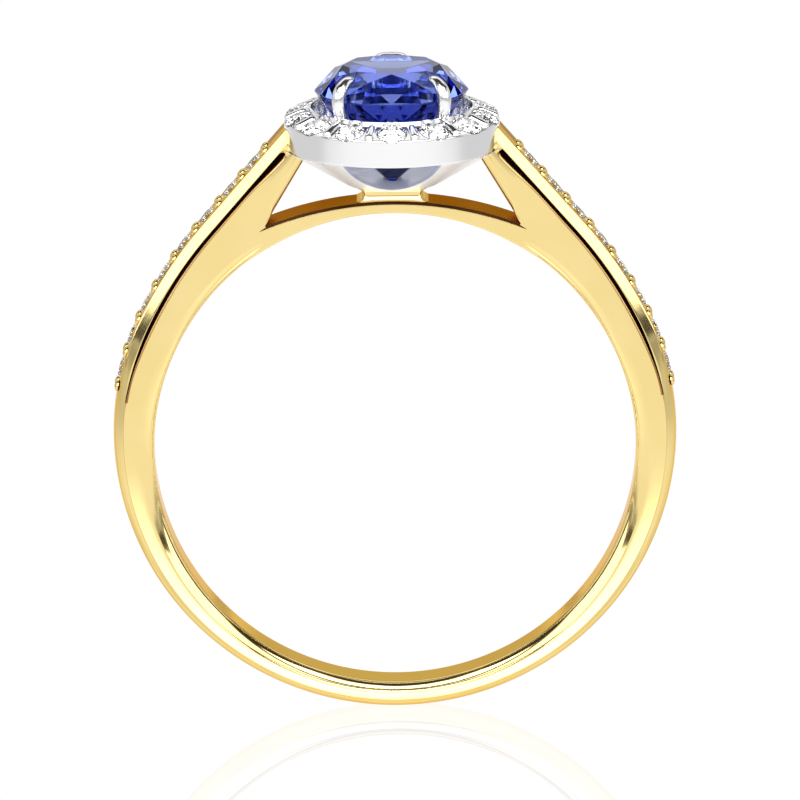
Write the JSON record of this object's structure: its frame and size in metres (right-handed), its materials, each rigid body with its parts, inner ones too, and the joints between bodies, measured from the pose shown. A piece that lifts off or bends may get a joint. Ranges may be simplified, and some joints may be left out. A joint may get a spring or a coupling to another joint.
{
  "type": "engagement ring",
  "caption": "Two-colour halo ring: yellow hoop with stone-set shoulders, white head with a halo of diamonds around a claw-set round blue stone.",
  "frame": {"origin": "centre of the finger bore, midway along its length", "axes": "+Z from the bore's centre up through the head, +Y along the finger, +X across the hoop"},
  "size_m": [0.0202, 0.0078, 0.0235],
  "materials": {
    "yellow_gold": "18 carat yellow gold, mirror polished",
    "white_gold": "white gold or platinum, mirror polished",
    "tanzanite": "faceted blue-violet gemstone",
    "diamond": "faceted colourless gemstone"
  },
  "bodies": {
    "root": {"shank": "yellow_gold", "bridge": "yellow_gold", "head_pad": "yellow_gold", "left_shoulder_grains": "yellow_gold", "right_shoulder_grains": "yellow_gold", "gallery_cup": "white_gold", "claw_ring": "white_gold", "halo_frame": "white_gold", "halo_bars": "white_gold", "claw_front_left": "white_gold", "claw_front_right": "white_gold", "claw_back": "white_gold", "center_stone": "tanzanite", "halo_diamond_1": "diamond", "halo_diamond_2": "diamond", "halo_diamond_3": "diamond", "halo_diamond_4": "diamond", "halo_diamond_5": "diamond", "halo_diamond_6": "diamond", "halo_diamond_7": "diamond", "halo_diamond_8": "diamond", "halo_diamond_9": "diamond", "halo_diamond_10": "diamond", "halo_diamond_11": "diamond", "halo_diamond_12": "diamond", "halo_diamond_13": "diamond", "halo_diamond_14": "diamond", "left_shoulder_diamond_1": "diamond", "left_shoulder_diamond_2": "diamond", "left_shoulder_diamond_3": "diamond", "left_shoulder_diamond_4": "diamond", "left_shoulder_diamond_5": "diamond", "left_shoulder_diamond_6": "diamond", "left_shoulder_diamond_7": "diamond", "left_shoulder_diamond_8": "diamond", "right_shoulder_diamond_1": "diamond", "right_shoulder_diamond_2": "diamond", "right_shoulder_diamond_3": "diamond", "right_shoulder_diamond_4": "diamond", "right_shoulder_diamond_5": "diamond", "right_shoulder_diamond_6": "diamond", "right_shoulder_diamond_7": "diamond", "right_shoulder_diamond_8": "diamond"}
  },
  "joints": []
}
